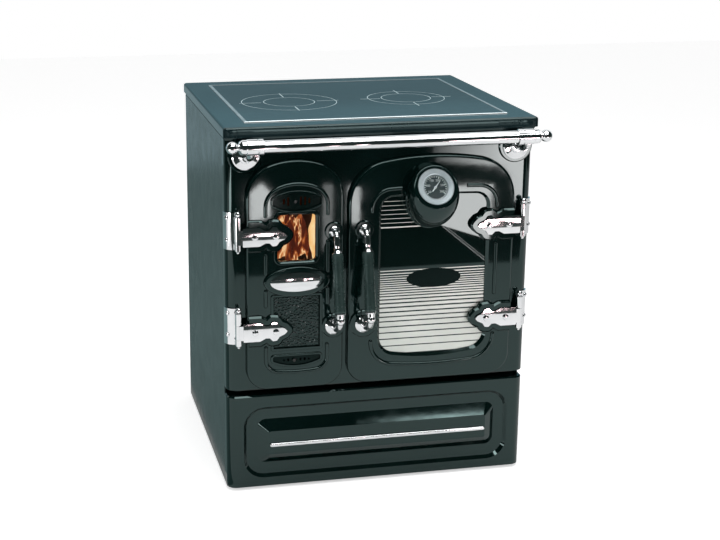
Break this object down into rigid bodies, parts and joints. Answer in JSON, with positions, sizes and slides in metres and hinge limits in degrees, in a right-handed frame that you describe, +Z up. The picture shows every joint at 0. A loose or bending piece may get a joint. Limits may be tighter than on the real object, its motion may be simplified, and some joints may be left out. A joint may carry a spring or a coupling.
{
  "type": "wood cookstove",
  "caption": "Black enamel wood cookstove with firebox door, glazed oven door with thermometer, glass hob, towel rail and wood drawer.",
  "frame": {"origin": "on the floor under the middle of the worktop", "axes": "+X to the right seen from the front, +Y to the back, +Z up"},
  "size_m": [0.725, 0.7726, 0.852],
  "materials": {
    "enamel_cast": "glossy vitreous enamel",
    "enamel_sheet": "glossy enamel",
    "dark_steel": "heat-proof matt black",
    "cast_dark": "matt",
    "textured_cast": "hammered satin",
    "steel_trim": "polished",
    "hob_glass": "black ceramic glass",
    "dark_glass": "printed mirror glass",
    "clear_glass": "clear",
    "fire_brick": "rough fireclay",
    "oven_steel": "satin",
    "chrome": "polished",
    "gasket": "woven rope",
    "grip_black": "satin",
    "dial_face": "printed",
    "needle_white": "satin",
    "slide_steel": "satin"
  },
  "bodies": {
    "stove": {"ash_pan": "dark_steel", "back_panel": "dark_steel", "base_pan": "dark_steel", "drawer_runners": "slide_steel", "fire_bricks": "fire_brick", "fire_casing": "dark_steel", "flue_collar": "cast_dark", "front_frame": "enamel_cast", "grate": "cast_dark", "hinge_bolts": "chrome", "hinge_pins": "chrome", "hinge_plates": "chrome", "hob_glass": "hob_glass", "hob_trim": "steel_trim", "mid_shelf": "dark_steel", "oven_liner": "oven_steel", "oven_rack": "chrome", "oven_supports": "dark_steel", "oven_tray": "enamel_sheet", "rack_guides": "oven_steel", "rail_brackets": "chrome", "rail_finials": "chrome", "rail_tube": "chrome", "side_panel_left": "enamel_sheet", "side_panel_right": "enamel_sheet", "worktop": "enamel_cast"},
    "fire_door": {"fire_badge": "chrome", "fire_badge_bezel": "enamel_cast", "fire_door": "enamel_cast", "fire_gasket": "gasket", "fire_glass": "clear_glass", "fire_glass_clips": "dark_steel", "fire_grip": "grip_black", "fire_handle_ends": "chrome", "fire_latch": "dark_steel", "fire_panel": "textured_cast", "fire_strap_bolts": "chrome", "fire_straps": "chrome", "fire_vents": "cast_dark"},
    "oven_door": {"oven_door": "enamel_cast", "oven_gasket": "gasket", "oven_glass": "dark_glass", "oven_glass_holder": "dark_steel", "oven_grip": "grip_black", "oven_handle_ends": "chrome", "oven_inner_glass": "clear_glass", "oven_latch": "dark_steel", "oven_strap_bolts": "chrome", "oven_straps": "chrome", "thermo_bezel": "steel_trim", "thermo_dial": "dial_face", "thermo_lens": "clear_glass", "thermo_pot": "enamel_cast"},
    "drawer": {"drawer_front": "enamel_cast", "drawer_trim": "steel_trim", "drawer_box": "dark_steel"},
    "upper_shutter": {"fire_shutter_upper": "dark_steel"},
    "lower_shutter": {"fire_shutter_lower": "dark_steel"},
    "needle": {"thermo_needle": "needle_white"}
  },
  "joints": [
    {"name": "fire_door_hinge", "type": "hinge", "parent": "stove", "child": "fire_door", "pos_m": [-0.328, -0.321, 0.5], "axis": [0, 0, -1], "range_deg": [0, 110]},
    {"name": "oven_door_hinge", "type": "hinge", "parent": "stove", "child": "oven_door", "pos_m": [0.328, -0.321, 0.5], "axis": [0, 0, 1], "range_deg": [0, 110]},
    {"name": "drawer_slide", "type": "slide", "parent": "stove", "child": "drawer", "axis": [0, -1, 0], "range_m": [0, 0.35]},
    {"name": "upper_register_slide", "type": "slide", "parent": "fire_door", "child": "upper_shutter", "axis": [1, 0, 0], "range_m": [0, 0.00475]},
    {"name": "lower_register_slide", "type": "slide", "parent": "fire_door", "child": "lower_shutter", "axis": [1, 0, 0], "range_m": [0, 0.00475]},
    {"name": "thermometer_needle", "type": "hinge", "parent": "oven_door", "child": "needle", "pos_m": [0.108, -0.35542, 0.70787], "axis": [0, -0.8829, 0.4695], "range_deg": [-150, 120]}
  ]
}
